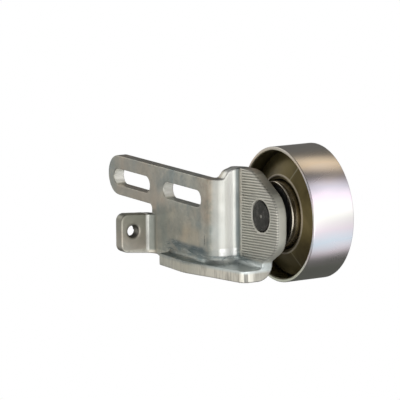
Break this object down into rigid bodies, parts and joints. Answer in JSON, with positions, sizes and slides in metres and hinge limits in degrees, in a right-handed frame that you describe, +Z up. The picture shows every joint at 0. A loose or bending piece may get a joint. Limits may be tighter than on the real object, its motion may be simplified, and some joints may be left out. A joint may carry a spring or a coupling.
{
  "type": "belt tensioner idler",
  "caption": "Bent, slotted steel bracket with a threaded adjuster tab, carrying a flat belt idler pulley that turns on a sealed ball bearing.",
  "frame": {"origin": "on the flat back face of the slotted plate, midway between its two slots", "axes": "+X along the slots towards the pulley, +Y along the pulley's axis away from the bracket, +Z up"},
  "size_m": [0.1676, 0.0685, 0.07],
  "materials": {
    "zinc_plate": "zinc plated, satin",
    "rim_zinc": "smooth bright zinc with a faint colour sheen",
    "web_passivated": "dark olive passivation, satin",
    "dark_steel": "dark, matt",
    "bearing_steel": "ground",
    "cage_steel": "pressed",
    "seal_rubber": "matt black"
  },
  "bodies": {
    "mount_bracket": {"bracket": "zinc_plate", "pivot_pin": "dark_steel", "bearing_inner_ring": "bearing_steel", "thrust_washer": "bearing_steel", "retaining_ring": "dark_steel"},
    "pulley": {"pulley_rim": "rim_zinc", "pulley_web": "web_passivated", "bearing_outer_ring": "bearing_steel", "seal_front": "seal_rubber", "seal_rear": "seal_rubber"},
    "ball_cage": {"ball_01": "bearing_steel", "ball_02": "bearing_steel", "ball_03": "bearing_steel", "ball_04": "bearing_steel", "ball_05": "bearing_steel", "ball_06": "bearing_steel", "ball_07": "bearing_steel", "ball_08": "bearing_steel", "cage_front": "cage_steel", "cage_rear": "cage_steel"}
  },
  "joints": [
    {"name": "pulley_spin", "type": "hinge", "parent": "mount_bracket", "child": "pulley", "pos_m": [0.0805, 0.024, -0.005], "axis": [0, 1, 0], "continuous": true},
    {"name": "cage_spin", "type": "hinge", "parent": "mount_bracket", "child": "ball_cage", "pos_m": [0.0805, 0.024, -0.005], "axis": [0, 1, 0], "continuous": true}
  ],
  "couplings": [
    {"joint": "cage_spin", "follows": "pulley_spin", "ratio": 0.619}
  ]
}
